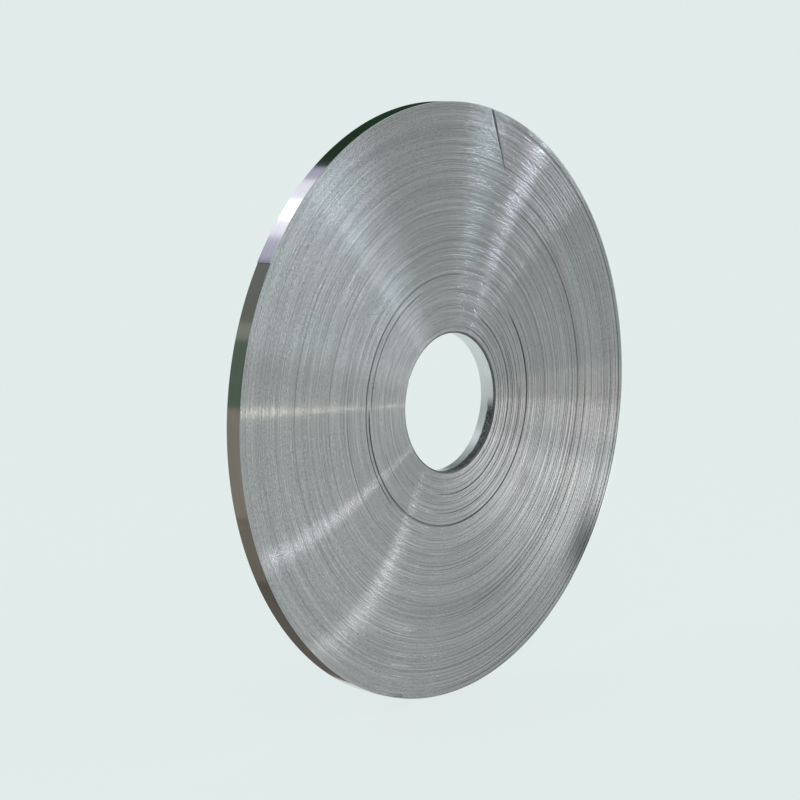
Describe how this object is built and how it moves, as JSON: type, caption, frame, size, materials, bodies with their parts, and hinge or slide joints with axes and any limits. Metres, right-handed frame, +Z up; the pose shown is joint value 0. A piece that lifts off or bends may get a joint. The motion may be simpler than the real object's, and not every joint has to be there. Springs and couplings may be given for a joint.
{
  "type": "steel coil",
  "caption": "Narrow coil of bright slit steel strip, wound on itself around an open round bore and standing on its rim.",
  "frame": {"origin": "on the floor under the bore's axis, midway across the strip's width", "axes": "+Z up, +Y along the bore's axis from the front end to the back end, so the front end faces -Y, and +X to the right as the front end is seen"},
  "size_m": [1.2823, 0.0387, 1.2828],
  "materials": {
    "strip": "bright cold-rolled steel strip: nearly mirror-like on its rolled face, and a fine grain of slit edges on the two ends"
  },
  "bodies": {
    "root": {"steel_coil": "strip"}
  },
  "joints": []
}
